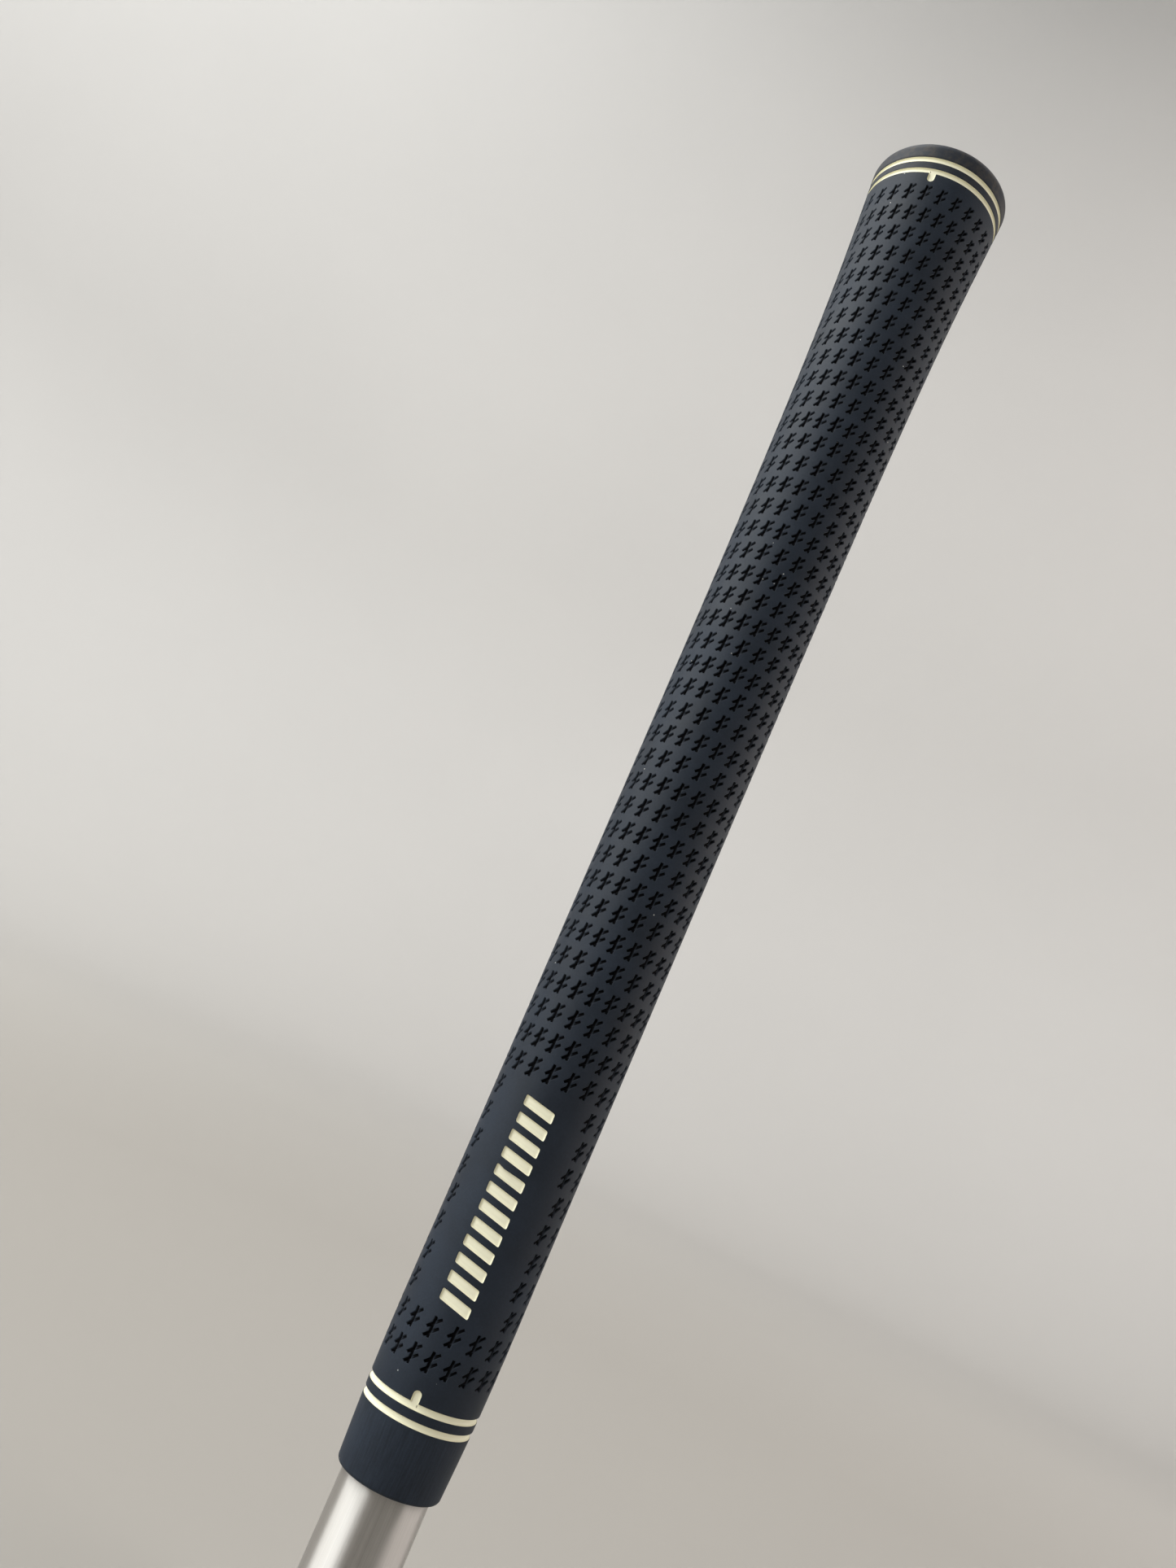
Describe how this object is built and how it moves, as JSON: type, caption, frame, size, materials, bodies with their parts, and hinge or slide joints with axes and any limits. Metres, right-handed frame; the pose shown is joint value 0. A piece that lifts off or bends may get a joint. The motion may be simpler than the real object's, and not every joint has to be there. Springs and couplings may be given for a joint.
{
  "type": "golf grip",
  "caption": "Moulded rubber golf club grip with painted ring grooves and end cap, taped onto the butt section of a tubular steel shaft.",
  "frame": {"origin": "centre of the shaft's lower free end, on the axis of the shaft", "axes": "+Z along the shaft axis towards the butt cap, -Y towards the label and index ticks, +X to the right when the label faces the viewer"},
  "size_m": [0.028, 0.028, 0.2921],
  "materials": {
    "sleeve_rubber": "matt moulded and buffed natural rubber compound, blue-black",
    "cap_rubber": "harder moulded rubber, blue-black, satin",
    "groove_paint": "flexible cream enamel, satin, slightly dished in its grooves",
    "adhesive_tape": "crepe paper carrier with adhesive on both faces",
    "shaft_steel": "satin nickel-chrome plating over lengthwise polished steel tube"
  },
  "bodies": {
    "root": {"shaft": "shaft_steel", "grip_tape": "adhesive_tape", "grip_sleeve": "sleeve_rubber", "butt_cap": "cap_rubber", "upper_outer_band": "groove_paint", "upper_index_band": "groove_paint", "lower_index_band": "groove_paint", "lower_outer_band": "groove_paint", "label_marks": "groove_paint"}
  },
  "joints": []
}
